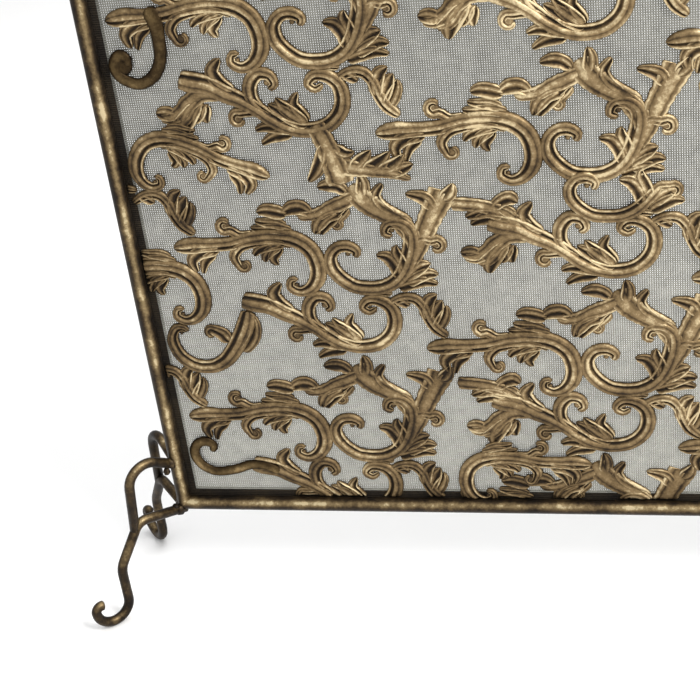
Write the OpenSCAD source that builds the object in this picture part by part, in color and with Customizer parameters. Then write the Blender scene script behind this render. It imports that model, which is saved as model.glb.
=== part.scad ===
// Free-standing fireplace screen. A frame of round bar holds a wire mesh that
// is clamped from behind by flat strips. Stamped leaf scrolls are fixed over
// the mesh, and each corner stands on a front and a rear foot of bent rod.
// X runs along the screen, -Y faces the room, Z is up from the floor.

/* [Frame] */
// Width over the side bars
frame_w = 1000; // [1000:1:1004]
// Height over the top and bottom bars
frame_h = 740; // [740:1:744]
// Diameter of the round bars
bar_d = 14; // [12:1:16]

/* [Mesh] */
// Thickness of the woven wire mesh
mesh_t = 1; // [0.8:0.1:1.5]
// Thickness of the flat strips behind the mesh
strip_t = 3; // [2:0.5:4]
// Distance from the outside of the frame to the inner edge of the strips
strip_reach = 19; // [17:1:24]

/* [Scrolls] */
// Thickness of the stamped scrolls
scroll_t = 2; // [1:0.5:2]
// Distance from the outside of the frame to the trimmed scroll ends
scroll_margin = 14.5; // [14.5:0.5:18]

/* [Feet] */
// Height of the frame above the floor
foot_h = 92; // [80:1:110]
// Diameter of the foot rods
rod_d = 10; // [8:1:12]
// Angle between the frame and each foot, seen from above
foot_splay = 46; // [46:1:60]

/* [Screws] */
// Number of screws along the top strip and along the bottom strip
screws_across = 6; // [3:1:9]
// Number of screws along each side strip
screws_up = 4; // [2:1:6]

/* [Hidden] */
$fn = 48;

bar_r = bar_d / 2;
rod_r = rod_d / 2;
side_x = frame_w / 2 - bar_r;
low_z = foot_h + bar_r;
high_z = foot_h + frame_h - bar_r;
strip_margin = 2;
strip_y = bar_r + mesh_t;
mesh_margin = 4;
screw_d = 3;
screw_hole_d = 3.2;
screw_depth = 5;
screw_head_d = 6;
screw_head_t = 2;
screw_inset = 90;

// Bends of a foot: [length, 0] is a straight run, [radius, turn] is a bend.
// A positive turn bends the rod upwards.
// The arm rises a little from the bar, knee_turn is how far below level the shin points
arm = 44;
arm_rise = 10;
knee_r = 14;
knee_turn = 56;
shin = 34;
ankle_r = 26;
sole_r = 18;
curl_r = 6;
foot_top = foot_h + 1;
foot_drop = knee_r * (cos(arm_rise) - cos(knee_turn)) - arm * sin(arm_rise)
    + shin * sin(knee_turn) + ankle_r * cos(knee_turn);
shank = foot_top - foot_drop - sole_r - rod_r;
foot_path = [
    [arm, 0], [knee_r, -arm_rise - knee_turn], [shin, 0], [ankle_r, knee_turn - 90],
    [shank, 0], [sole_r, 180], [curl_r, 110]
];
// A brace rises from the side bar, arches over and lands on the foot's shin
brace_top = foot_h + 53;
brace_rise = 30;
brace_path = [[26, 0], [21, -115], [48.1, 0]];
gap = 1;
bead = 0.6;

// Scroll shapes. Each ribbon is a list of points [x, z, width] along the middle
// of a band of metal, and each bud is [x, z, diameter]. They are measured from
// the frame's lower left corner, for the lowest complete scroll of each kind.
c_scroll = [
    // tail, upper sweep and C
    [[50, 294, 12], [75, 295, 13], [100, 294, 13], [122, 299, 14], [145, 300, 15], [162, 296, 15],
     [174, 286, 14], [179, 271, 14], [176, 257, 12], [166, 248, 10], [157, 246, 9]],
    // leaf under the tail
    [[84, 289, 5], [70, 287, 7], [62, 280, 7], [64, 268, 2]],
    [[80, 286, 4], [73, 278, 5], [72, 264, 2]],
    // bud stem above, hook below
    [[116, 303, 5], [105, 303, 8], [99, 308, 9]],
    [[111, 293, 12], [105, 284, 10], [107, 275, 9]],
    // inner fan
    [[152, 292, 4], [136, 291, 6], [126, 287, 5], [121, 281, 2]],
    [[148, 290, 4], [138, 286, 6], [134, 280, 5], [134, 273, 2]],
    [[149, 289, 4], [141, 284, 5], [140, 278, 5], [142, 272, 2]],
    // feathers on the shoulder
    [[156, 305, 5], [143, 308, 6], [133, 309, 5], [124, 312, 2]],
    [[153, 309, 5], [143, 313, 6], [137, 317, 5], [131, 323, 2]]
];
c_buds = [[154, 252, 12], [100, 312, 17], [112, 272, 16]];
u_scroll = [
    // U, open at the top
    [[203, 284, 8], [196, 281, 9], [192, 270, 13], [198, 258, 12], [209, 248, 12], [222, 245, 12],
     [236, 246, 12], [248, 253, 12], [257, 264, 12], [263, 278, 12], [264, 291, 12], [259, 302, 10], [250, 306, 8]],
    // stem up to the left, with a curled leaf on each side
    [[222, 352, 20], [226, 340, 17], [234, 329, 16], [246, 319, 15], [260, 311, 12], [268, 307, 8]],
    [[250, 322, 6], [241, 332, 6], [241, 341, 5], [249, 348, 2]],
    [[216, 350, 6], [204, 350, 8], [196, 349, 7], [188, 347, 2]],
    // stem up to the right, with a curled leaf
    [[256, 256, 8], [266, 272, 10], [274, 290, 12], [281, 306, 14], [289, 322, 16], [296, 338, 20]],
    [[285, 320, 7], [281, 331, 7], [276, 337, 5], [266, 338, 2]],
    // bud stem and leaves on the outside of the U
    [[266, 280, 6], [272, 290, 8], [281, 295, 9]],
    [[262, 256, 5], [268, 264, 7], [276, 267, 6], [280, 260, 2]],
    [[260, 250, 5], [270, 255, 6], [280, 254, 5], [287, 251, 2]],
    // inner fan
    [[250, 256, 6], [247, 268, 8], [241, 276, 6], [232, 280, 2]],
    [[257, 262, 6], [254, 274, 7], [249, 282, 2]]
];
u_buds = [[210, 282, 13], [246, 300, 14], [287, 289, 15]];
spray = [
    // stem that ends in lobed leaves, and a side stem with a bud
    [[224, 338, 10], [210, 332, 10], [196, 326, 10], [185, 317, 8], [180, 308, 6], [178, 300, 2]],
    [[196, 326, 8], [183, 323, 9], [172, 323, 7], [160, 325, 9]],
    [[160, 325, 9], [148, 326, 10], [136, 328, 4]],
    [[206, 322, 7], [195, 317, 7], [188, 310, 6], [184, 302, 2]],
    [[212, 324, 6], [205, 320, 7], [199, 313, 8]]
];
spray_buds = [[163, 325, 13], [201, 308, 11]];
leaf_scroll_shape = [
    // stem from the left and C that opens upwards
    [[106, 234, 17], [125, 227, 16], [142, 219, 15], [156, 213, 14], [168, 205, 13], [180, 197, 13], [194, 190, 13],
     [208, 188, 12], [222, 190, 12], [234, 197, 12], [241, 208, 12], [243, 220, 11], [238, 230, 9], [225, 232, 8]],
    // curled leaf and bud stem on the stem
    [[146, 222, 6], [136, 231, 6], [132, 241, 5], [137, 252, 2]],
    [[174, 201, 5], [162, 205, 8], [152, 203, 9]],
    // inner fan
    [[192, 196, 5], [178, 204, 5], [170, 212, 2]],
    [[195, 197, 5], [186, 206, 5], [180, 215, 2]],
    [[198, 197, 5], [192, 206, 5], [199, 220, 2]],
    // feathers under the C
    [[196, 187, 6], [180, 189, 6], [162, 187, 2]],
    [[192, 185, 6], [180, 182, 6], [168, 174, 2]],
    // short stem up to the scroll above, with a bud
    [[166, 204, 9], [164, 218, 10], [166, 230, 12], [168, 241, 13]],
    [[165, 212, 5], [169, 222, 7], [175, 226, 8]],
    // arched stem to the right, ending in a long lobed leaf
    [[240, 228, 7], [250, 235, 8], [262, 235, 9], [270, 226, 9], [274, 214, 10], [280, 203, 10], [288, 196, 8]],
    [[275, 213, 7], [274, 224, 8], [280, 236, 2]],
    [[279, 206, 7], [283, 220, 8], [284, 232, 2]],
    [[284, 200, 6], [290, 212, 8], [291, 223, 2]]
];
leaf_scroll_buds = [[220, 230, 13], [147, 197, 17], [176, 223, 12], [255, 229, 9]];
bridge_shape = [
    [[194, 404, 14], [201, 388, 14], [206, 370, 17], [211, 348, 20]],
    [[198, 386, 6], [197, 370, 7], [192, 359, 6], [183, 352, 2]],
    [[210, 366, 12], [224, 364, 10], [240, 362, 8], [258, 359, 8], [272, 352, 3]],
    [[228, 366, 8], [236, 375, 7], [240, 383, 2]],
    [[234, 365, 7], [248, 372, 8], [256, 381, 2]],
    [[246, 364, 6], [260, 370, 7], [268, 378, 2]]
];
hook_shape = [[[66, 512, 9], [67, 490, 9], [66, 468, 9], [59, 454, 9], [47, 448, 9], [35, 452, 10], [30, 462, 11]]];
hook_buds = [[32, 468, 17]];
wave_shape = [
    [[31, 78, 9], [28, 66, 9], [33, 54, 9], [46, 46, 9], [66, 48, 9], [84, 55, 10], [98, 54, 10], [112, 46, 9]],
    [[46, 76, 8], [40, 81, 9], [31, 78, 9]]
];
wave_buds = [[47, 75, 13]];
crook_shape = [
    [[44, 209, 9], [34, 205, 9], [29, 193, 10], [34, 178, 11], [46, 168, 12], [62, 166, 12],
     [76, 172, 13], [87, 184, 13], [96, 198, 13], [107, 216, 11]],
    [[93, 186, 7], [103, 194, 10], [110, 202, 4]],
    [[84, 192, 8], [77, 202, 9], [68, 206, 8]]
];
crook_buds = [[48, 203, 12], [67, 204, 10]];

// Shifts [x, z] of every copy of the two main scrolls, column by column
twin_places = [
    [-20, -186], [-2, -5], [-23, 208], [-45, 420],
    [220, -113], [196, 97], [174, 307],
    [442, -221], [455, -47], [437, 163], [415, 373],
    [677, -155], [657, 54], [635, 264],
    [879, -54], [857, 156], [835, 366]
];
leaf_places = [
    [-20, -186], [-2, -5], [-24, 208], [-45, 420],
    [220, -113], [230, 60], [213, 273], [191, 482],
    [455, -47], [437, 163], [415, 373],
    [677, -155], [657, 54], [635, 264], [613, 474]
];
// Leaf scrolls that carry a spray under their stem
sprayed = [3, 4, 5, 6, 7, 8, 9, 10, 11, 12];
spray_shift = [-90, -124];
bridge_places = [[-2, -5], [-23, 208], [437, 163], [455, -47], [677, -155], [657, 54], [635, 264]];
half_places = [[204, 61], [182, 271]];

function names(stem, count) = [for (i = [1 : count]) str(stem, i)];

// Bars

module bar_along_x(z) {
    translate([-frame_w / 2, 0, z]) rotate([0, 90, 0]) cylinder(h = frame_w, d = bar_d);
}
module bar_along_z(x) {
    translate([x, 0, foot_h]) cylinder(h = frame_h, d = bar_d);
}
// The frame's outline split along its mitres: the part next to one side
module mitre_across(z, up) {
    points = [[-frame_w / 2, 0], [frame_w / 2, 0], [frame_w / 2 - bar_d, up * bar_d], [-frame_w / 2 + bar_d, up * bar_d]];
    translate([0, bar_d, z]) rotate([90, 0, 0]) linear_extrude(2 * bar_d) polygon(points);
}
module mitre_up(x, inward) {
    points = [[0, 0], [inward * bar_d, bar_d], [inward * bar_d, frame_h - bar_d], [0, frame_h]];
    translate([x, bar_d, foot_h]) rotate([90, 0, 0]) linear_extrude(2 * bar_d) polygon(points);
}
function across_at(i) = -frame_w / 2 + screw_inset + i * (frame_w - 2 * screw_inset) / (screws_across - 1);
function up_at(i) = foot_h + screw_inset + i * (frame_h - 2 * screw_inset) / (screws_up - 1);
across_spots = [for (z = [low_z, high_z]) for (i = [0 : screws_across - 1]) [across_at(i), z]];
up_spots = [for (x = [-side_x, side_x]) for (i = [0 : screws_up - 1]) [x, up_at(i)]];
screw_spots = concat(across_spots, up_spots);

// Round rods that run backwards from y, one for each screw
module screw_rods(y, length, d) {
    for (spot = screw_spots) translate([spot.x, y, spot.y]) rotate([-90, 0, 0]) cylinder(h = length, d = d);
}
module threaded() {
    difference() {
        children();
        screw_rods(bar_r - screw_depth, screw_depth + 1, screw_d);
    }
}
module drilled() {
    difference() {
        children();
        screw_rods(bar_r - 1, mesh_t + strip_t + 2, screw_hole_d);
    }
}
module rail(z, edge_z, up) {
    color("#5a4a36") threaded() intersection() {
        bar_along_x(z);
        mitre_across(edge_z, up);
    }
}
module stile(side) {
    color("#5a4a36") threaded() intersection() {
        bar_along_z(side * side_x);
        mitre_up(side * frame_w / 2, -side);
    }
}
module bottom_rail() { rail(low_z, foot_h, 1); }
module top_rail() { rail(high_z, foot_h + frame_h, -1); }
module left_stile() { stile(-1); }
module right_stile() { stile(1); }

// Mesh and the strips that clamp it

module wire_mesh() {
    color("#9a9a96") drilled()
        translate([mesh_margin - frame_w / 2, bar_r, foot_h + mesh_margin])
            cube([frame_w - 2 * mesh_margin, mesh_t, frame_h - 2 * mesh_margin]);
}
module strip_across(z) {
    color("#3d3428") drilled()
        translate([strip_margin - frame_w / 2, strip_y, z])
            cube([frame_w - 2 * strip_margin, strip_t, strip_reach - strip_margin]);
}
module strip_up(x) {
    color("#3d3428") drilled()
        translate([x, strip_y, foot_h + strip_reach])
            cube([strip_reach - strip_margin, strip_t, frame_h - 2 * strip_reach]);
}
module bottom_strip() { strip_across(foot_h + strip_margin); }
module top_strip() { strip_across(foot_h + frame_h - strip_reach); }
module left_strip() { strip_up(strip_margin - frame_w / 2); }
module right_strip() { strip_up(frame_w / 2 - strip_reach); }
module strip_screws() {
    color("#8a8a86") {
        screw_rods(bar_r - screw_depth, screw_depth + mesh_t + strip_t, screw_d);
        screw_rods(strip_y + strip_t, screw_head_t, screw_head_d);
    }
}

// Feet

// A rod bent along a path that starts at the origin and heads along +X. Its
// runs and bends meet inside slightly thicker beads.
module bent_rod(path, k = 0) {
    if (k > 0 && k < len(path)) sphere(d = rod_d + bead);
    if (k < len(path) && path[k][1] == 0) {
        run = path[k][0];
        translate([k == 0 ? 0 : gap, 0, 0]) rotate([0, 90, 0])
            cylinder(h = run - (k == 0 ? 0 : gap) - (k == len(path) - 1 ? 0 : gap), d = rod_d);
        translate([run, 0, 0]) bent_rod(path, k + 1);
    } else if (k < len(path)) {
        r = path[k][0];
        turn = path[k][1];
        up = turn > 0 ? 1 : -1;
        a = abs(turn);
        short = gap / r * 180 / PI;
        rotate([up > 0 ? 0 : 180, 0, 0]) translate([0, 0, r]) rotate([90, 0, 0]) rotate([0, 0, short - 90])
            rotate_extrude(angle = a - (k == len(path) - 1 ? 1 : 2) * short) translate([r, 0]) circle(d = rod_d);
        translate([r * sin(a), 0, up * r * (1 - cos(a))]) rotate([0, -turn, 0]) bent_rod(path, k + 1);
    }
}
// Places a rod that starts on a side bar's axis: side is -1 on the left and 1
// on the right, and face is -1 in front of the frame and 1 behind it
module splayed(side, face) {
    translate([side * side_x, 0, 0]) rotate([0, 0, side < 0 ? 180 - face * foot_splay : face * foot_splay]) children();
}
// Trims a rod to the side bar and to its own side of the frame
module trimmed(side, face) {
    difference() {
        children();
        translate([side * side_x, 0, foot_h - 2 * rod_d]) cylinder(h = frame_h, d = bar_d);
        translate([-frame_w, face < 0 ? 0 : -frame_w, 0]) cube([2 * frame_w, frame_w, 2 * frame_h]);
    }
}
module foot_rod(side, face) {
    splayed(side, face) translate([0, 0, foot_top]) rotate([0, -arm_rise, 0]) bent_rod(foot_path);
}
module foot(side, face) { color("#54452f") trimmed(side, face) foot_rod(side, face); }
module brace(side, face) {
    color("#54452f") difference() {
        trimmed(side, face) splayed(side, face)
            translate([0, 0, brace_top]) rotate([0, -brace_rise, 0]) bent_rod(brace_path);
        foot_rod(side, face);
    }
}
module front_left_foot() { foot(-1, -1); }
module rear_left_foot() { foot(-1, 1); }
module front_right_foot() { foot(1, -1); }
module rear_right_foot() { foot(1, 1); }
module front_left_brace() { brace(-1, -1); }
module rear_left_brace() { brace(-1, 1); }
module front_right_brace() { brace(1, -1); }
module rear_right_brace() { brace(1, 1); }

// Scrolls

// Smooth curve through points: Catmull-Rom, sampled between each pair
samples = 2;
function at(list, i) = list[max(0, min(len(list) - 1, i))];
function spline(p, i, t) =
    0.5 * (2 * at(p, i)
        + (at(p, i + 1) - at(p, i - 1)) * t
        + (2 * at(p, i - 1) - 5 * at(p, i) + 4 * at(p, i + 1) - at(p, i + 2)) * t * t
        + (3 * at(p, i) - at(p, i - 1) - 3 * at(p, i + 1) + at(p, i + 2)) * t * t * t);
function smooth(p) = [
    for (i = [0 : len(p) - 2]) for (k = [0 : samples - 1]) spline(p, i, k / samples),
    p[len(p) - 1]
];
function heading(c, i) = let (d = at(c, i + 1) - at(c, i - 1)) d / norm([d.x, d.y]);
function edge(c, i, side) = let (h = heading(c, i)) [c[i].x - side * h.y * c[i].z / 2, c[i].y + side * h.x * c[i].z / 2];
function right_edge(c) = [for (i = [0 : len(c) - 1]) edge(c, i, -1)];
function left_edge(c) = [for (i = [len(c) - 1 : -1 : 0]) edge(c, i, 1)];

module outline(ribbons, buds) {
    for (ribbon = ribbons) {
        c = smooth(ribbon);
        polygon(concat(right_edge(c), left_edge(c)));
    }
    for (bud = buds) polygon([for (a = [0 : 30 : 330]) [bud.x + bud.z / 2 * cos(a), bud.y + bud.z / 2 * sin(a)]]);
}
module spray_outline() { outline(spray, spray_buds); }
module twin_outline() {
    outline(c_scroll, c_buds);
    outline(u_scroll, u_buds);
    spray_outline();
}
// A stamping cut from an outline, trimmed at the frame. Layer 0 lies on the
// mesh, and layer 1 lies on the scrolls of layer 0.
module stamping(layer = 0) {
    color("#b08d4a")
        translate([-frame_w / 2, bar_r - layer * scroll_t, foot_h]) rotate([90, 0, 0]) linear_extrude(scroll_t)
            intersection() {
                union() children();
                translate([scroll_margin, scroll_margin])
                    square([frame_w - 2 * scroll_margin, frame_h - 2 * scroll_margin]);
            }
}
module twin_scroll(i) { stamping() translate(twin_places[i]) twin_outline(); }
module leaf_scroll(i) {
    stamping() translate(leaf_places[i]) {
        outline(leaf_scroll_shape, leaf_scroll_buds);
        if (len(search(i, sprayed)) > 0) translate(spray_shift) spray_outline();
    }
}
// The C scroll turned over, with its crown at the given place
module back_scroll(crown, turn) {
    translate(crown) rotate(turn) mirror([1, 0]) translate([-150, -300]) outline(c_scroll, c_buds);
}
module half_scrolls() { stamping(1) for (place = half_places) translate(place) outline(u_scroll, u_buds); }
module bridge_sprays() { stamping(1) for (place = bridge_places) translate(place) outline(bridge_shape, []); }
module edge_hook() { stamping(1) translate([-2, -5]) outline(hook_shape, hook_buds); }
module edge_wave() { stamping(1) translate([-2, -5]) outline(wave_shape, wave_buds); }
module edge_crook() { stamping() translate([-2, -5]) outline(crook_shape, crook_buds); }
module edge_c_scroll() { stamping() translate([-115, -33]) outline(c_scroll, c_buds); }
module edge_back_scroll() { stamping(1) back_scroll([48, 395], -20); }
module bottom_back_scroll() { stamping(1) back_scroll([310, 61], 0); }
module edge_offcuts() {
    stamping() {
        translate([195, -293]) twin_outline();
        translate([-222, 104]) outline(leaf_scroll_shape, leaf_scroll_buds);
        translate([-242, -78]) outline(leaf_scroll_shape, leaf_scroll_buds);
        translate([896, -264]) outline(c_scroll, c_buds);
    }
}

bottom_rail();
top_rail();
left_stile();
right_stile();
wire_mesh();
bottom_strip();
top_strip();
left_strip();
right_strip();
strip_screws();
front_left_foot();
rear_left_foot();
front_right_foot();
rear_right_foot();
front_left_brace();
rear_left_brace();
front_right_brace();
rear_right_brace();
for (i = [0 : len(twin_places) - 1]) twin_scroll(i);
for (i = [0 : len(leaf_places) - 1]) leaf_scroll(i);
half_scrolls();
bridge_sprays();
edge_hook();
edge_wave();
edge_crook();
edge_c_scroll();
edge_back_scroll();
bottom_back_scroll();
edge_offcuts();
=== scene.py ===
import math

import bmesh
import bpy
from mathutils import Matrix, Vector
from mathutils.noise import noise as noise_at


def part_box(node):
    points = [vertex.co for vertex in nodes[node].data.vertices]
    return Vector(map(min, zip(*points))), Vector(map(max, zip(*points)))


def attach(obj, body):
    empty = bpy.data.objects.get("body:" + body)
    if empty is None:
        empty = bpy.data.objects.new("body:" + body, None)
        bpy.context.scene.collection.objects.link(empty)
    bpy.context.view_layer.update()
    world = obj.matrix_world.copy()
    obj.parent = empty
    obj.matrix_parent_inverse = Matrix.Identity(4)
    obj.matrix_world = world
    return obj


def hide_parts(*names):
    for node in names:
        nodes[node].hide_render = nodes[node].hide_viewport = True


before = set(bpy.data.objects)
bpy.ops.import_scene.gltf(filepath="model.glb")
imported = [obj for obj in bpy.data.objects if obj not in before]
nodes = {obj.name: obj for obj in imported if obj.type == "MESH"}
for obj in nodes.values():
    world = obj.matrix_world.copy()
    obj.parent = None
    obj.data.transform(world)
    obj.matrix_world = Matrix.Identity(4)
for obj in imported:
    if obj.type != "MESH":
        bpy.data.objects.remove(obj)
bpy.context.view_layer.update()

# The outside of the frame's bars, the floor gap under it and the mesh's front face
low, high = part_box("left_stile")
left, bottom, top = low.x, low.z, high.z
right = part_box("right_stile")[1].x
mesh_low, mesh_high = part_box("wire_mesh")
mesh_y = mesh_low.y
mm = 0.001
# in millimetres: the bars' radius, and how far inside the frame's outside the scrolls are cut off
bar_r = 7
margin = 14.4


# ---------------------------------------------------------------- materials

def new_material(name):
    m = bpy.data.materials.new(name)
    m.use_nodes = True
    return m, m.node_tree, m.node_tree.nodes["Principled BSDF"]


def node(tree, kind, inputs=None, **settings):
    n = tree.nodes.new(kind)
    for k, v in settings.items():
        setattr(n, k, v)
    for k, v in (inputs or {}).items():
        if isinstance(v, bpy.types.NodeSocket):
            tree.links.new(v, n.inputs[k])
        else:
            n.inputs[k].default_value = v
    return n


def ramp(tree, fac, stops):
    n = tree.nodes.new("ShaderNodeValToRGB")
    tree.links.new(fac, n.inputs["Fac"])
    while len(n.color_ramp.elements) < len(stops):
        n.color_ramp.elements.new(0.5)
    for e, (at, colour) in zip(n.color_ramp.elements, stops):
        e.position = at
        e.color = (*colour, 1)
    return n.outputs["Color"]


def noise(tree, where, scale, detail, rough=0.6):
    return node(tree, "ShaderNodeTexNoise", {
        "Vector": where, "Scale": scale, "Detail": detail, "Roughness": rough}).outputs["Fac"]


def maths(tree, operation, a, b, clamp=False):
    return node(tree, "ShaderNodeMath", {0: a, 1: b}, operation=operation, use_clamp=clamp).outputs[0]


def spread(tree, value, low, high):
    """0 to 1 made low to high."""
    return fade(tree, value, 0, 1, low, high)


def fade(tree, value, start, end, low, high):
    """low where value is start, high where it is end, and level past both."""
    return node(tree, "ShaderNodeMapRange", {
        "Value": value, "From Min": start, "From Max": end, "To Min": low, "To Max": high}).outputs[0]


def along(tree, vector, direction):
    """The part of vector along direction."""
    dot = node(tree, "ShaderNodeVectorMath", {0: vector, 1: direction}, operation="DOT_PRODUCT")
    return dot.outputs["Value"]


def rubbed_metal_with_painted_light(name, stops, metallic, rough, wear_and_highlight_from, patch=26, bump=0.25, painted_light_up_right=False):
    """Dark paint worn back to gold. On a relief or rod the gold shows where the mesh's wear attribute is
    high; on a plain bar a painted highlight goes along faces that point the given way, with painted shade on
    the rest.
    Patches, specks and grain break it up. The up-right flag adds painted light: darker lower left, lighter
    upper right."""
    m, tree, bsdf = new_material(name)
    where = node(tree, "ShaderNodeTexCoord").outputs["Object"]
    patches = noise(tree, where, patch, 5, 0.62)
    specks = noise(tree, where, 150, 4, 0.7)
    grain = noise(tree, where, 420, 3, 0.7)
    if wear_and_highlight_from == "relief":
        # The wear attribute holds the reliefs' worn rims and, on the rods, a painted highlight with painted
        # shade.
        base = node(tree, "ShaderNodeAttribute", attribute_name="wear_and_sheen").outputs["Fac"]
    else:
        # On a plain bar: painted highlight on the faces that point the given way, painted shade on the rest.
        out = node(tree, "ShaderNodeTexCoord").outputs["Normal"]
        facing = maths(tree, "ADD", along(tree, out, wear_and_highlight_from), 0, clamp=True)
        facing = maths(tree, "POWER", facing, 7)
        base = spread(tree, facing, 0.18, 0.84)
    if painted_light_up_right:
        # Painted light: darker towards the lower left, lighter towards the upper right, where the key light
        # is.
        up_right = along(tree, where, (1, 0, 1))
        base = maths(tree, "ADD", base, fade(tree, up_right, -0.2, 0.6, -0.13, 0.14))
    worn = maths(tree, "ADD", base, spread(tree, patches, -0.8, 0.75))
    worn = maths(tree, "ADD", worn, spread(tree, specks, -0.45, 0.45))
    worn = maths(tree, "ADD", worn, spread(tree, grain, -0.2, 0.2), clamp=True)
    tree.links.new(ramp(tree, worn, stops), bsdf.inputs["Base Color"])
    bsdf.inputs["Metallic"].default_value = metallic
    tree.links.new(spread(tree, maths(tree, "ADD", specks, grain), *rough), bsdf.inputs["Roughness"])
    height = maths(tree, "ADD", specks, maths(tree, "MULTIPLY", grain, 0.5))
    b = node(tree, "ShaderNodeBump", {"Height": height, "Strength": bump, "Distance": 0.0008})
    tree.links.new(b.outputs["Normal"], bsdf.inputs["Normal"])
    return m


# The gold carries painted light: darker to the lower left, lighter to the upper right.
gold = rubbed_metal_with_painted_light("antique_gold", [
    (0.0, (0.016, 0.010, 0.005)), (0.28, (0.062, 0.039, 0.017)), (0.52, (0.155, 0.103, 0.047)),
    (0.76, (0.27, 0.190, 0.095)), (1.0, (0.66, 0.54, 0.33))],
    0.72, (0.36, 0.58), "relief", patch=17, painted_light_up_right=True)
edge_bronze = rubbed_metal_with_painted_light("edge_bronze", [
    (0.0, (0.012, 0.007, 0.003)), (0.4, (0.045, 0.028, 0.011)), (0.75, (0.12, 0.080, 0.034)),
    (1.0, (0.30, 0.21, 0.10))], 0.9, (0.32, 0.55), "relief")
bronze = [(0.0, (0.008, 0.005, 0.003)), (0.3, (0.035, 0.022, 0.010)), (0.6, (0.12, 0.082, 0.038)),
          (0.85, (0.26, 0.19, 0.095)), (1.0, (0.55, 0.45, 0.27))]
foot_bronze = rubbed_metal_with_painted_light("foot_bronze", bronze, 0.75, (0.28, 0.5), "relief", patch=30)
# Stiles, rails and strips get a painted highlight on faces turned towards the lights, painted shade on the
# rest.
stile_bronze = rubbed_metal_with_painted_light("stile_bronze", bronze, 0.75, (0.28, 0.5), (0.4, -0.917, 0), patch=30)
rail_bronze = rubbed_metal_with_painted_light("rail_bronze", bronze, 0.75, (0.28, 0.5), (0, -0.85, 0.53), patch=30)
strip_bronze = rubbed_metal_with_painted_light("strip_bronze", [
    (0.0, (0.006, 0.004, 0.003)), (0.6, (0.016, 0.011, 0.006)), (1.0, (0.05, 0.035, 0.018))],
    0.3, (0.55, 0.75), (0, -1, 0), patch=30)


def plain_steel(name, dark, light, rough, painted_light_low=0.0):
    """Dull patchy steel. Its last argument adds painted light low on the screen and a little painted shade
    high up.
    """
    m, tree, bsdf = new_material(name)
    where = node(tree, "ShaderNodeTexCoord").outputs["Object"]
    patches = noise(tree, where, 90, 5)
    grain = noise(tree, where, 700, 3, 0.7)
    both = maths(tree, "ADD", spread(tree, patches, 0, 0.7), spread(tree, grain, 0, 0.3), clamp=True)
    if painted_light_low:
        # Painted light: lighter low on the screen, a little darker high up.
        painted_light_shift = fade(tree, along(tree, where, (0, 0, 1)), 0.15, 0.45, painted_light_low, -painted_light_low / 2.2)
        both = maths(tree, "ADD", both, painted_light_shift, clamp=True)
    tree.links.new(ramp(tree, both, [(0, dark), (1, light)]), bsdf.inputs["Base Color"])
    tree.links.new(spread(tree, grain, rough - 0.08, rough + 0.1), bsdf.inputs["Roughness"])
    bsdf.inputs["Metallic"].default_value = 0.75
    return m


# The wires carry painted light: lighter low on the screen, a little darker high up.
wire_steel = plain_steel("wire_steel", (0.085, 0.084, 0.070), (0.47, 0.465, 0.415), 0.42, 0.28)
screw_steel = plain_steel("screw_steel", (0.05, 0.045, 0.04), (0.36, 0.34, 0.30), 0.4)

for name, o in nodes.items():
    if name.endswith("_rail"):
        material = rail_bronze
    elif name.endswith(("_stile", "_foot", "_brace")):
        material = stile_bronze
    elif name.endswith("_strip"):
        material = strip_bronze
    else:
        material = screw_steel
    o.data.materials.clear()
    o.data.materials.append(material)


# ---------------------------------------------------------------- scroll shapes
# Ribbons are [x, z, width] along the middle of a band, in millimetres from the
# frame's lower left corner, close to those in the CAD source. Each has a letter
# for its section: s scroll with a groove along its inside, t stem with two
# shallow flutes, l hollow leaf with raised rims, p plain round stem, b plain bar.
# After the ribbons of a shape come the bosses of its curls: x, z and diameter.

def curl(x, z, d, start, sweep):
    """The rolled end of a band: from the angle start it winds by sweep degrees around x, z."""
    out = []
    for k in range(7):
        t = k / 6
        a, r = math.radians(start + sweep * t), d * (0.295 - 0.105 * t)
        out.append([x + r * math.cos(a), z + r * math.sin(a), d * (0.42 - 0.15 * t)])
    return out


c_scroll = ("sllsslllll", [
    [[47, 291, 5], [55, 292, 13], [66, 293, 16], [80, 293, 13], [100, 294, 13], [122, 299, 14],
     [145, 300, 15], [162, 296, 16], [174, 286, 16], [179, 271, 16], [177, 257, 15], [169, 247, 12],
     [159, 244, 10], [151, 249, 9], [153, 256, 7], [159, 256, 5]],
    [[90, 289, 7], [72, 286, 8], [63, 278, 7], [66, 266, 3]],
    [[86, 285, 5], [75, 277, 6], [71, 264, 2]],
    [[124, 304, 6], [112, 302, 8]] + curl(99, 312, 22, -50, -280),
    [[158, 289, 4], [142, 295, 7], [124, 294, 9], [110, 290, 10],
     [103, 281, 10]] + curl(111, 272, 17, 190, 260),
    [[152, 292, 4], [136, 291, 6], [126, 287, 5], [121, 281, 2]],
    [[148, 290, 4], [138, 286, 6], [132, 280, 5], [131, 274, 2]],
    [[149, 289, 4], [143, 284, 6], [139, 278, 6], [143, 271, 2]],
    [[160, 305, 5], [146, 308, 6], [133, 308, 5], [122, 309, 2]],
    [[156, 309, 5], [146, 313, 6], [137, 314, 5], [127, 316, 2]],
], [[157, 251, 4], [100, 311, 8], [111, 272, 8]])
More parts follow.
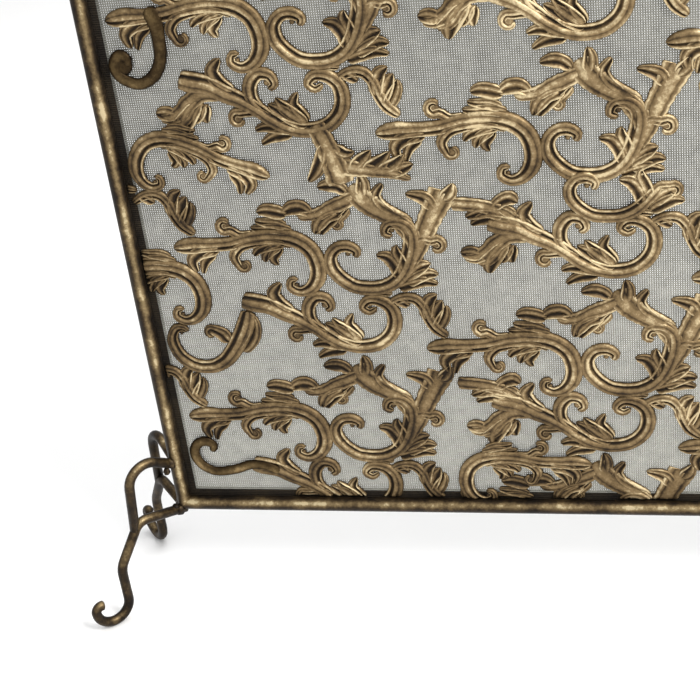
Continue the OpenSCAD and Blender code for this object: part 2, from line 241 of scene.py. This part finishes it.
u_scroll = ("stlltlsllllltll", [
    [[213, 277, 7], [216, 283, 9], [209, 288, 11], [199, 287, 11], [192, 279, 12], [192, 268, 14],
     [198, 258, 14], [209, 249, 14], [222, 246, 14], [236, 247, 14], [248, 253, 14], [257, 264, 15],
     [263, 278, 16], [266, 291, 15], [265, 302, 13], [257, 309, 11], [246, 308, 9], [243, 300, 8],
     [250, 297, 6]],
    [[219, 347, 16], [225, 336, 18], [234, 327, 17], [246, 319, 15], [260, 311, 13], [268, 307, 8]],
    [[254, 318, 5], [243, 326, 7], [239, 337, 6], [246, 347, 3]],
    [[214, 340, 6], [207, 346, 7], [198, 348, 7], [188, 346, 2]],
    [[258, 262, 8], [267, 276, 11], [274, 290, 14], [281, 306, 16], [289, 322, 18], [298, 338, 21]],
    [[288, 322, 7], [283, 331, 8], [275, 335, 6], [265, 337, 2]],
    [[266, 282, 7], [274, 293, 9]] + curl(288, 287, 22, 130, -280),
    [[260, 256, 6], [268, 264, 8], [275, 268, 7], [281, 269, 2]],
    [[258, 250, 6], [270, 257, 7], [279, 260, 6], [287, 258, 2]],
    [[250, 246, 6], [262, 250, 7], [274, 252, 6], [286, 249, 2]],
    [[252, 256, 7], [250, 268, 8], [243, 277, 7], [233, 279, 2]],
    [[258, 262, 6], [255, 272, 7], [251, 282, 6], [252, 288, 2]],
    [[250, 317, 9], [260, 307, 14], [268, 293, 13], [268, 276, 7]],
    [[296, 330, 8], [304, 337, 8], [307, 345, 3]],
    [[228, 336, 9], [229, 349, 7], [227, 357, 3]],
], [[208, 281, 5], [250, 303, 5], [287, 288, 8]])
half_scroll = ("slllsl", [
    [[211, 271, 7], [214, 277, 8], [208, 282, 10], [199, 281, 10], [193, 274, 11], [193, 265, 12],
     [199, 256, 12], [210, 248, 12], [223, 246, 12], [236, 247, 12], [248, 253, 12], [258, 263, 11],
     [267, 272, 8]],
    u_scroll[1][7], u_scroll[1][10], u_scroll[1][11],
    [[256, 262, 7], [266, 272, 8]] + curl(278, 268, 19, 130, -280),
    u_scroll[1][8],
], [[207, 275, 5], [278, 268, 7]])
spray = ("ttlllls", [
    [[222, 336, 10], [210, 331, 11], [198, 326, 11], [187, 320, 9], [180, 314, 6]],
    [[196, 326, 8], [186, 321, 9], [176, 319, 8], [166, 319, 6]],
    [[180, 320, 4], [172, 327, 8], [162, 327, 8], [153, 322, 3]],
    [[158, 321, 6], [148, 324, 8], [138, 326, 7], [130, 324, 3]],
    [[208, 322, 7], [194, 319, 8], [185, 311, 8], [180, 301, 2]],
    [[204, 320, 6], [195, 314, 8], [188, 307, 7], [185, 300, 3]],
    [[214, 324, 6], [210, 319, 7]] + curl(201, 310, 15, 50, -260),
], [[201, 310, 8], [172, 322, 6]])
leaf_scroll = ("slslllllsslslll", [
    [[103, 237, 16], [112, 234, 19], [128, 230, 18], [142, 222, 17], [156, 215, 15], [168, 207, 14],
     [180, 197, 14], [194, 189, 14], [210, 186, 14], [226, 189, 14], [238, 199, 14], [243, 212, 14],
     [241, 225, 13], [232, 233, 12], [221, 234, 10], [215, 227, 8], [221, 222, 7], [228, 226, 5]],
    [[150, 224, 6], [139, 232, 8], [134, 243, 8], [142, 253, 3]],
    [[180, 200, 6], [166, 205, 9]] + curl(150, 199, 21, 60, 290),
    [[210, 190, 6], [199, 197, 8], [188, 205, 7], [178, 211, 2]],
    [[210, 192, 6], [200, 200, 8], [191, 208, 7], [185, 216, 2]],
    [[211, 193, 7], [204, 202, 8], [200, 211, 6], [205, 220, 2]],
    [[198, 187, 6], [184, 190, 7], [172, 191, 5], [163, 188, 2]],
    [[196, 184, 6], [184, 183, 7], [175, 180, 5], [167, 175, 2]],
    [[173, 205, 9], [165, 216, 12], [165, 229, 13], [173, 238, 12], [183, 236, 10], [186, 228, 8],
     [180, 224, 6]],
    [[238, 228, 7], [250, 235, 9], [262, 235, 10], [270, 227, 10], [274, 215, 11], [280, 204, 11],
     [290, 195, 8]],
    [[244, 236, 4], [252, 232, 6], [258, 227, 4]],
    [[222, 238, 6], [232, 242, 8], [244, 240, 6]],
    [[272, 213, 7], [273, 224, 8], [277, 234, 7], [284, 238, 2]],
    [[276, 208, 7], [280, 218, 8], [284, 227, 7], [288, 232, 2]],
    [[280, 203, 7], [286, 212, 8], [290, 220, 6], [291, 227, 2]],
], [[222, 229, 4], [150, 199, 9], [180, 230, 6]])
# the right end of a leaf scroll, all that shows where the left bar cuts one off
leaf_tail = (leaf_scroll[0][9:], leaf_scroll[1][9:], [])
# what ties a leaf scroll to the stem on its left: a strap, a bud over it and a fan under it
tie = ("tlllll", [
    [[72, 254, 10], [88, 253, 10], [103, 250, 10], [115, 244, 13], [126, 235, 15], [138, 227, 14]],
    [[108, 249, 6], [116, 256, 7], [124, 258, 8], [130, 253, 4]],
    [[118, 242, 8], [106, 246, 7], [94, 245, 7], [84, 241, 2]],
    [[120, 238, 8], [108, 241, 8], [97, 239, 6], [88, 234, 2]],
    [[122, 233, 7], [112, 236, 7], [103, 233, 3]],
    [[128, 240, 5], [121, 246, 6], [113, 250, 4]],
], [])
low_spray = ("tlllll", [
    [[140, 220, 8], [122, 222, 11], [110, 216, 13], [100, 207, 12], [90, 202, 9], [80, 203, 6]],
    [[96, 204, 7], [86, 207, 8], [77, 207, 5]],
    [[118, 217, 8], [107, 205, 11], [102, 195, 9], [101, 186, 3]],
    [[114, 214, 6], [103, 202, 8], [96, 198, 6], [91, 197, 3]],
    [[122, 214, 6], [115, 205, 8], [110, 197, 5]],
    [[125, 213, 5], [121, 204, 7], [122, 196, 3]],
], [])
bridge = ("tltlllll", [
    [[194, 404, 14], [201, 388, 15], [206, 370, 18], [211, 348, 20]],
    [[200, 386, 6], [196, 372, 8], [190, 361, 7], [182, 352, 2]],
    [[210, 366, 14], [224, 363, 12], [240, 360, 9], [258, 357, 8], [272, 351, 3]],
    [[222, 362, 8], [232, 371, 8], [240, 379, 2]],
    [[232, 360, 8], [246, 367, 9], [256, 377, 2]],
    [[244, 359, 7], [258, 364, 9], [268, 374, 2]],
    [[254, 357, 6], [266, 362, 7], [275, 365, 2]],
    [[208, 384, 7], [217, 377, 7], [226, 378, 2]],
], [])
hook = ("b", [
    [[66, 514, 17], [70, 502, 15], [71, 490, 13], [69, 469, 12], [61, 455, 12], [48, 448, 11],
     [36, 451, 11], [28, 459, 11], [28, 468, 12], [34, 474, 12], [40, 470, 9], [38, 464, 7]],
], [[35, 465, 17]])
wave = ("b", [
    [[46, 70, 7], [49, 77, 10], [42, 82, 11], [33, 79, 11], [28, 68, 11], [33, 55, 11], [46, 47, 11],
     [66, 49, 11], [84, 55, 11], [98, 54, 11], [112, 46, 10]],
], [])
crook = ("sll", [
    [[46, 204, 5], [42, 208, 7], [35, 208, 9], [30, 201, 10], [29, 192, 12], [34, 178, 13], [46, 168, 14],
     [62, 166, 14], [76, 172, 15], [87, 184, 16], [96, 198, 17], [103, 212, 17], [107, 225, 13]],
    [[95, 182, 5], [103, 189, 7], [110, 200, 7], [112, 213, 5], [109, 222, 2]],
    [[84, 192, 8], [79, 201, 8]] + curl(68, 203, 13, 60, 260),
], [[39, 203, 4], [68, 203, 6]])

twin_places = [
    [-20, -186], [-2, -5], [-23, 208], [-45, 420], [220, -113], [196, 97], [174, 307],
    [442, -221], [455, -47], [437, 163], [415, 373], [677, -155], [657, 54], [635, 264],
    [879, -54], [857, 156], [835, 366]]
leaf_places = [
    [-20, -186], [-2, -5], [-24, 208], [-45, 420], [220, -113], [229, 67], [212, 280], [190, 489],
    [455, -47], [437, 163], [415, 373], [677, -155], [657, 54], [635, 264], [613, 474]]
half_places = [[211, 60], [189, 270]]
# the leaf scrolls, by place, that have a low spray
sprayed = range(2, 13)
bridge_places = [[-2, -5], [-23, 208], [437, 163], [455, -47], [677, -155], [657, 54], [635, 264]]

# Height across a band, from its inner edge (-1) to its outer edge (1): [across, height, wear]
sections = {
    "s": [[-1, .15, .2], [-.94, .60, .8], [-.82, .80, 1.0], [-.66, .70, .6], [-.54, .40, .12],
          [-.42, .30, .04], [-.30, .62, .4], [-.16, .88, .85], [.04, .96, .78], [.24, .94, .62],
          [.38, .80, .30], [.50, .84, .5], [.68, .86, .66], [.84, .74, .72], [.95, .46, .65],
          [1, .10, .3]],
    "t": [[-1, .14, .2], [-.95, .70, .85], [-.82, .95, .92], [-.62, .84, .58], [-.50, .70, .25],
          [-.38, .82, .5], [-.10, .95, .72], [.20, 1.0, .76], [.45, .90, .6], [.58, .76, .25],
          [.68, .80, .42], [.82, .92, .75], [.94, .66, .85], [1, .12, .2]],
    "l": [[-1, .25, .4], [-.93, .92, 1.0], [-.80, 1.0, .95], [-.62, .70, .5], [-.46, .36, .04],
          [-.30, .28, .0], [-.12, .52, .3], [.10, .74, .6], [.32, .86, .78], [.50, .78, .55],
          [.66, .60, .2], [.80, .70, .55], [.93, .58, .8], [1, .15, .3]],
    "p": [[-1, .12, .2], [-.92, .42, .5], [-.72, .72, .55], [-.45, .92, .65], [-.15, 1.0, .8],
          [.15, 1.0, .85], [.45, .92, .75], [.72, .72, .6], [.92, .42, .45], [1, .12, .2]],
    "b": [[-1, .25, .2], [-.92, .52, .3], [-.72, .78, .45], [-.45, .94, .6], [-.15, 1.0, .7],
          [.15, 1.0, .7], [.45, .94, .6], [.72, .78, .45], [.92, .52, .3], [1, .25, .2]],
}
tallest = {"s": 4.6, "t": 3.2, "l": 4.0, "p": 4.2, "b": 3.6}
# how much wider than its ribbon each kind of band is, as a factor and as an addition
fuller = {"s": (1.04, 0), "t": (1.28, 0), "l": (1.6, 0.8), "p": (1.1, 0), "b": (0.93, 0)}


# ---------------------------------------------------------------- relief


def at(p, i):
    return p[max(0, min(len(p) - 1, i))]


def spline(points, step):
    """Catmull-Rom through points, the curve that the CAD outlines follow, sampled about every step."""
    out = []
    for i in range(len(points) - 1):
        a, b, c, d = at(points, i - 1), points[i], points[i + 1], at(points, i + 2)
        n = max(2, round(math.dist(b[:2], c[:2]) / step))
        for k in range(n):
            t = k / n
            out.append([0.5 * (2 * b[j] + (c[j] - a[j]) * t + (2 * a[j] - 5 * b[j] + 4 * c[j] - d[j]) * t * t
                               + (3 * b[j] - a[j] - 3 * c[j] + d[j]) * t ** 3) for j in range(3)])
    return out + [list(points[-1])]


def turning(points):
    """Positive where a curve turns left overall."""
    total = 0
    for i in range(1, len(points) - 1):
        a = Vector([points[i][j] - points[i - 1][j] for j in (0, 1)])
        b = Vector([points[i + 1][j] - points[i][j] for j in (0, 1)])
        total += a.x * b.y - a.y * b.x
    return total


class Relief:
    """Collects closed shells in millimetres: x along the frame, h out of the mesh, z up."""

    def __init__(self):
        self.verts, self.faces, self.wear_and_sheen = [], [], []

    def ring(self, points):
        start = len(self.verts)
        for p, w in points:
            self.verts.append(p)
            self.wear_and_sheen.append(w)
        return list(range(start, start + len(points)))

    def loft(self, rings):
        n = len(rings[0])
        for a, b in zip(rings, rings[1:]):
            for i in range(n):
                j = (i + 1) % n
                self.faces.append((a[i], a[j], b[j], b[i]))
        self.faces.append(tuple(reversed(rings[0])))
        self.faces.append(tuple(rings[-1]))

    def band(self, points, kind, place, base):
        """One ribbon swept into a relief on the level base, its ends round or, where wide, nearly square."""
        more, extra = fuller[kind]
        points = [[x, z, more * w + extra] for x, z, w in points]
        c = spline(points, 2.6)
        length = [0.0]
        for a, b in zip(c, c[1:]):
            length.append(length[-1] + math.dist(a[:2], b[:2]))
        inner = 1 if turning(points) > 0 else -1
        section = sections[kind]
        rings = []
        for i, (x, z, w) in enumerate(c):
            d = Vector((at(c, i + 1)[0] - at(c, i - 1)[0], at(c, i + 1)[1] - at(c, i - 1)[1])).normalized()
            side = Vector((-d.y, d.x)) * inner
            tall = min(tallest[kind], 0.15 * w + 2.4 if w > 4 else 0.75 * w)
            to_end = min(length[i], length[-1] - length[i]) / (w / 2)
            if to_end < 1:
                power = 7 if w > 11 and kind in "st" else 2
                end = max(0.16, (1 - (1 - to_end) ** power) ** (1 / power))
                w, tall = w * end, tall * end ** 0.7
            if kind == "t":
                tall *= min(1, 0.4 + 0.4 * to_end)
                w *= 1 + 0.04 * math.sin(length[i] / 4.5 + x)
            ring = []
            for across, height, wear_and_sheen in section:
                q = -across * w / 2
                u, v = x + side.x * q, z + side.y * q
                dents = 1 + 0.16 * noise_at(Vector((u / 7, v / 7, base)))
                ring.append((place(u, v, base + height * tall * dents), wear_and_sheen))
            lo, hi = section[0][0] * -w / 2, section[-1][0] * -w / 2
            ring.append((place(x + side.x * hi, z + side.y * hi, base), 0.0))
            ring.append((place(x + side.x * lo, z + side.y * lo, base), 0.0))
            if inner < 0:
                ring = ring[::-1]
            rings.append(self.ring(ring))
        self.loft(rings)

    def boss(self, x, z, d, place, base):
        """The low round boss inside a curl."""
        turns = [math.radians(30 * k) for k in range(12)]
        rings = []
        for share, h, wear_and_sheen in ((1, 0, 0), (1, 1.4, 0.1), (0.8, 2.2, 0.35), (0.45, 2.6, 0.5), (0.1, 2.7, 0.5)):
            r = d / 2 * share
            rings.append(self.ring([(place(x + r * math.cos(a), z + r * math.sin(a), base + h), wear_and_sheen)
                                    for a in turns]))
        self.loft(rings)

    def shape(self, piece, place, base=0.0):
        kinds, ribbons, bosses = piece
        for kind, points in zip(kinds, ribbons):
            self.band(points, kind, place, base)
        for x, z, d in bosses:
            self.boss(x, z, d, place, base)

    def piece(self, name, material, slot, *replaced):
        """The shells as one object, cut off at the frame's bars."""
        mesh = bpy.data.meshes.new(name)
        mesh.from_pydata([(left + x * mm, mesh_y - h * mm, bottom + z * mm) for x, z, h in self.verts],
                         [], self.faces)
        mesh.attributes.new("wear_and_sheen", "FLOAT", "POINT").data.foreach_set("value", self.wear_and_sheen)
        b = bmesh.new()
        b.from_mesh(mesh)
        m = margin * mm
        for co, out in (((left + m, 0, 0), (-1, 0, 0)), ((right - m, 0, 0), (1, 0, 0)),
                        ((0, 0, bottom + m), (0, 0, -1)), ((0, 0, top - m), (0, 0, 1))):
            if all((v.co - Vector(co)).dot(Vector(out)) < 0 for v in b.verts):
                continue
            cut = bmesh.ops.bisect_plane(b, geom=b.verts[:] + b.edges[:] + b.faces[:], dist=1e-7,
                                         plane_co=co, plane_no=out, clear_outer=True)
            edges = [e for e in cut["geom_cut"] if isinstance(e, bmesh.types.BMEdge)]
            bmesh.ops.holes_fill(b, edges=edges, sides=0)
        bmesh.ops.recalc_face_normals(b, faces=b.faces)
        b.to_mesh(mesh)
        b.free()
        mesh.materials.append(material)
        for p in mesh.polygons:
            p.use_smooth = True
        o = bpy.data.objects.new(name, mesh)
        bpy.context.scene.collection.objects.link(o)
        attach(o, "root")
        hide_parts(*replaced)
        return o


# ---------------------------------------------------------------- feet and braces

def painted_rod_highlight(facing):
    """Painted highlight on a round rod: bright along the line that faces the light, painted shade on the
    sides and back.
    """
    return 0.22 + 0.66 * max(0.0, facing) ** 5


def walk(path, v, rise):
    """Points [out, up] of a bent rod: [length, 0] is a run and [radius, turn] a bend."""
    u, a, out = 0.0, math.radians(rise), [(0.0, v)]
    for r, turn in path:
        if turn == 0:
            u, v = u + r * math.cos(a), v + r * math.sin(a)
            out.append((u, v))
            continue
        up, start = (1 if turn > 0 else -1), a
        cu, cv = u - up * r * math.sin(a), v + up * r * math.cos(a)
        steps = max(3, round(abs(turn) / 9))
        for k in range(1, steps + 1):
            a = start + math.radians(turn) * k / steps
            u, v = cu + up * r * math.sin(a), cv - up * r * math.cos(a)
            out.append((u, v))
    return out


def rod(name, side, face, path, v, rise, lumps):
    """A foot or brace on one side bar, swept along its path, with weld lumps given as out, up and radius."""
    verts, faces, wear_and_sheen = [], [], []
    c, w = math.cos(math.radians(splay)), math.sin(math.radians(splay))
    outward, across = Vector((side * c, face * w, 0)), Vector((-face * w, side * c, 0))
    start = Vector((left * 1000 + bar_r if side < 0 else right * 1000 - bar_r, 0, 0))
    points = walk(path, v, rise)
    dirs = []
    for i in range(len(points)):
        (u0, v0), (u1, v1) = points[max(0, i - 1)], points[min(len(points) - 1, i + 1)]
        dirs.append(math.atan2(v1 - v0, u1 - u0))
    tip, a = points[-1], dirs[-1]
    rings = [(point, direction, rod_r) for point, direction in zip(points, dirs)]
    for past, share in ((0.6, 0.85), (0.96, 0.5)):
        rings.append(((tip[0] + past * math.cos(a), tip[1] + past * math.sin(a)), a, rod_r * share))
    # lit points up, to the front and right, towards the lights: the rods' wear attribute is a painted
    # highlight there, painted shade on the sides and back.
    lit = Vector((0.35, -0.6, 0.75)).normalized()
    for (pu, pv), a, r in rings:
        base = start + outward * pu + Vector((0, 0, pv))
        normal = outward * -math.sin(a) + Vector((0, 0, math.cos(a)))
        for k in range(sides):
            t = 2 * math.pi * k / sides
            out = normal * math.cos(t) + across * math.sin(t)
            verts.append((base + out * r) * mm)
            wear_and_sheen.append(painted_rod_highlight(out.dot(lit)))
    for i in range(len(rings) - 1):
        here, after = sides * i, sides * (i + 1)
        for k in range(sides):
            n = (k + 1) % sides
            faces.append((here + k, here + n, after + n, after + k))
    faces.append(tuple(range(sides - 1, -1, -1)))
    faces.append(tuple(range(len(verts) - sides, len(verts))))
    for u, v, size in lumps:
        first = len(verts)
        base = start + outward * u + Vector((0, 0, v))
        b = bmesh.new()
        bmesh.ops.create_icosphere(b, subdivisions=2, radius=size)
        for p in b.verts:
            co = p.co * (1 + 0.35 * noise_at(p.co * 0.35 + base))
            verts.append((base + co) * mm)
            wear_and_sheen.append(0.15 + 0.5 * noise_at(p.co * 0.5))
        faces += [tuple(first + q.index for q in f.verts) for f in b.faces]
        b.free()
    mesh = bpy.data.meshes.new(name)
    mesh.from_pydata(verts, [], faces)
    mesh.attributes.new("wear_and_sheen", "FLOAT", "POINT").data.foreach_set("value", wear_and_sheen)
    b = bmesh.new()
    b.from_mesh(mesh)
    bmesh.ops.recalc_face_normals(b, faces=b.faces)
    b.to_mesh(mesh)
    b.free()
    mesh.materials.append(foot_bronze)
    for p in mesh.polygons:
        p.use_smooth = True
    o = bpy.data.objects.new(name + "_rod", mesh)
    bpy.context.scene.collection.objects.link(o)
    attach(o, "root")
    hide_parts(name)


# the same rods and bends as in the CAD source
splay, rod_r, sides = 46, 5, 14
foot_top, foot_rise = bottom * 1000 + 1, 10
foot_path = [[44, 0], [14, -66], [34, 0], [26, -34], [28.95, 0], [18, 180], [6, 110]]
foot_welds = [(7, foot_top + 1, 6.2), (11, foot_top + 5, 4)]
brace_top, brace_rise = bottom * 1000 + 53, 30
brace_path = [[26, 0], [21, -115], [48.1, 0]]
brace_welds = [(6, brace_top + 4, 6), (12, brace_top - 3, 4)]
for side, end in ((-1, "left"), (1, "right")):
    for face, front in ((-1, "front"), (1, "rear")):
        rod(f"{front}_{end}_foot", side, face, foot_path, foot_top, foot_rise, foot_welds)
        rod(f"{front}_{end}_brace", side, face, brace_path, brace_top, brace_rise, brace_welds)


# ---------------------------------------------------------------- scrolls in place

def shifted(dx, dz):
    return lambda x, z, h: (x + dx, z + dz, h)


def turned_over(crown_x, crown_z, turn):
    """A C scroll turned over, at nine tenths of its size, with its crown at crown_x, crown_z."""
    c, s = 0.9 * math.cos(math.radians(turn)), 0.9 * math.sin(math.radians(turn))

    def place(x, z, h):
        u, v = 150 - x, z - 300
        return crown_x + c * u - s * v, crown_z + s * u + c * v, h
    return place


# the level of pieces laid over the scrolls
over = 2.0
for i, p in enumerate(twin_places):
    r = Relief()
    for part in (c_scroll, u_scroll, spray):
        r.shape(part, shifted(*p))
    r.piece(f"twin_relief_{i + 1}", gold, "scroll_gold", f"twin_scroll_{i + 1}")
for i, p in enumerate(leaf_places):
    r = Relief()
    r.shape(leaf_scroll, shifted(*p))
    if i in sprayed:
        r.shape(low_spray, shifted(*p))
    if p[0] > 100:
        r.shape(tie, shifted(*p))
    r.piece(f"leaf_relief_{i + 1}", gold, "scroll_gold", f"leaf_scroll_{i + 1}")

r = Relief()
for p in bridge_places:
    r.shape(bridge, shifted(*p), over)
r.piece("bridge_relief", gold, "scroll_gold", "bridge_sprays")
r = Relief()
for p in half_places:
    r.shape(half_scroll, shifted(*p), over)
r.piece("half_relief", gold, "scroll_gold", "half_scrolls")
for name, part, place, base, material, slot in (
        ("edge_hook", hook, shifted(-2, -5), over, edge_bronze, "edge_bronze"),
        ("edge_wave", wave, shifted(-2, -5), over, edge_bronze, "edge_bronze"),
        ("edge_crook", crook, shifted(-2, -5), 0.0, gold, "scroll_gold"),
        ("edge_c_scroll", c_scroll, shifted(-115, -33), 0.0, gold, "scroll_gold"),
        ("edge_back_scroll", c_scroll, turned_over(62, 392, -20), over, gold, "scroll_gold"),
        ("bottom_back_scroll", c_scroll, turned_over(318, 61, 0), over, gold, "scroll_gold")):
    r = Relief()
    r.shape(part, place, base)
    r.piece(name + "_relief", material, slot, name)
r = Relief()
for part in (c_scroll, u_scroll, spray):
    r.shape(part, shifted(195, -293))
r.shape(leaf_tail, shifted(-222, 104))
r.shape(leaf_scroll, shifted(-242, -78))
r.shape(c_scroll, shifted(896, -264))
r.piece("offcut_relief", gold, "scroll_gold", "edge_offcuts")


# ---------------------------------------------------------------- wire mesh

def wire_cloth():
    """Two layers of straight wires, oval in section, that fill the CAD sheet's thickness."""
    verts, faces, dark = [], [], []
    pitch, wide, deep = 2.0 * mm, 0.66 * mm, 0.25 * mm
    span_x, span_z = (mesh_low.x, mesh_high.x), (mesh_low.z, mesh_high.z)
    # the wires over the edge strips take the strips' near-black material, which darkens the band along the
    # frame
    edge_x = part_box("left_strip")[1].x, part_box("right_strip")[0].x
    edge_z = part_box("bottom_strip")[1].z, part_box("top_strip")[0].z
    for flat, (lo, hi), (end_a, end_b), y, (side_a, side_b), (cut_a, cut_b) in (
            (True, span_z, span_x, mesh_low.y + deep, edge_z, edge_x),
            (False, span_x, span_z, mesh_high.y - deep, edge_x, edge_z)):
        count = int((hi - lo - 2 * wide) / pitch)
        first = (lo + hi - count * pitch) / 2
        for k in range(count + 1):
            s = first + k * pitch
            start = len(verts)
            for end in (end_a, cut_a, cut_b, end_b):
                for a in range(6):
                    t = math.pi * a / 3
                    u, v = s + wide * math.cos(t), y + deep * math.sin(t)
                    verts.append((end, v, u) if flat else (u, v, end))
            for part in range(3):
                for a in range(6):
                    b = (a + 1) % 6
                    here, after = start + 6 * part, start + 6 * part + 6
                    faces.append((here + a, here + b, after + b, after + a))
                    dark.append(part != 1 or not side_a < s < side_b)
            faces.append(tuple(start + a for a in range(6)))
            faces.append(tuple(start + 23 - a for a in range(6)))
            dark += [True, True]
    mesh = bpy.data.meshes.new("wire_cloth")
    mesh.from_pydata(verts, [], faces)
    b = bmesh.new()
    b.from_mesh(mesh)
    bmesh.ops.recalc_face_normals(b, faces=b.faces)
    b.to_mesh(mesh)
    b.free()
    mesh.materials.append(wire_steel)
    mesh.materials.append(strip_bronze)
    mesh.polygons.foreach_set("material_index", [int(d) for d in dark])
    o = bpy.data.objects.new("wire_cloth", mesh)
    bpy.context.scene.collection.objects.link(o)
    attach(o, "root")
    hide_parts("wire_mesh")


wire_cloth()


# ---------------------------------------------------------------- floor, lights, camera

def floor():
    m, tree, bsdf = new_material("pale_floor")
    where = node(tree, "ShaderNodeTexCoord").outputs["Object"]
    stops = [(0.3, (0.95, 0.95, 0.95)), (0.7, (0.97, 0.97, 0.97))]
    tree.links.new(ramp(tree, noise(tree, where, 3, 3), stops), bsdf.inputs["Base Color"])
    bsdf.inputs["Roughness"].default_value = 0.9
    mesh = bpy.data.meshes.new("floor")
    s = 30
    mesh.from_pydata([(-s, -s, 0), (s, -s, 0), (s, s, 0), (-s, s, 0)], [], [(0, 1, 2, 3)])
    mesh.materials.append(m)
    o = bpy.data.objects.new("floor", mesh)
    bpy.context.scene.collection.objects.link(o)


def area(name, place, look_at, size, power, colour=(1, 1, 1)):
    d = bpy.data.lights.new(name, "AREA")
    d.shape, d.size, d.energy, d.color = "SQUARE", size, power, colour
    o = bpy.data.objects.new(name, d)
    o.location = place
    o.rotation_euler = (Vector(look_at) - Vector(place)).to_track_quat("-Z", "Y").to_euler()
    bpy.context.scene.collection.objects.link(o)


floor()
middle = (0, 0, 0.45)
area("key", (1.3, -0.9, 2.1), (0.1, 0, 0.5), 1.0, 66, (1, 0.98, 0.95))
area("fill", (-2.2, -2.4, 1.4), middle, 2.4, 10)
area("top", (0.2, 0.9, 3.0), middle, 2.2, 40)
world = bpy.data.worlds.new("studio")
bpy.context.scene.world = world
world.use_nodes = True
world.node_tree.nodes["Background"].inputs["Color"].default_value = (1, 1, 1, 1)
world.node_tree.nodes["Background"].inputs["Strength"].default_value = 0.72

yaw, pitch, roll = (math.radians(a) for a in (-14.592, 29.411, -7.881))
ahead = Vector((math.sin(yaw) * math.cos(pitch), math.cos(yaw) * math.cos(pitch), -math.sin(pitch)))
across = Vector((math.cos(yaw), -math.sin(yaw), 0))
upward = across.cross(ahead)
x_axis = across * math.cos(roll) + upward * math.sin(roll)
y_axis = upward * math.cos(roll) - across * math.sin(roll)
camera = bpy.data.cameras.new("camera")
camera.lens = 77.14
camera.sensor_width = 36
camera.clip_end = 100
o = bpy.data.objects.new("camera", camera)
o.matrix_world = Matrix.Translation((-0.0017, -1.1565, 0.9463)) @ Matrix(
    (x_axis, y_axis, -ahead)).transposed().to_4x4()
bpy.context.scene.collection.objects.link(o)
bpy.context.scene.camera = o
bpy.context.scene.view_settings.view_transform = "Standard"
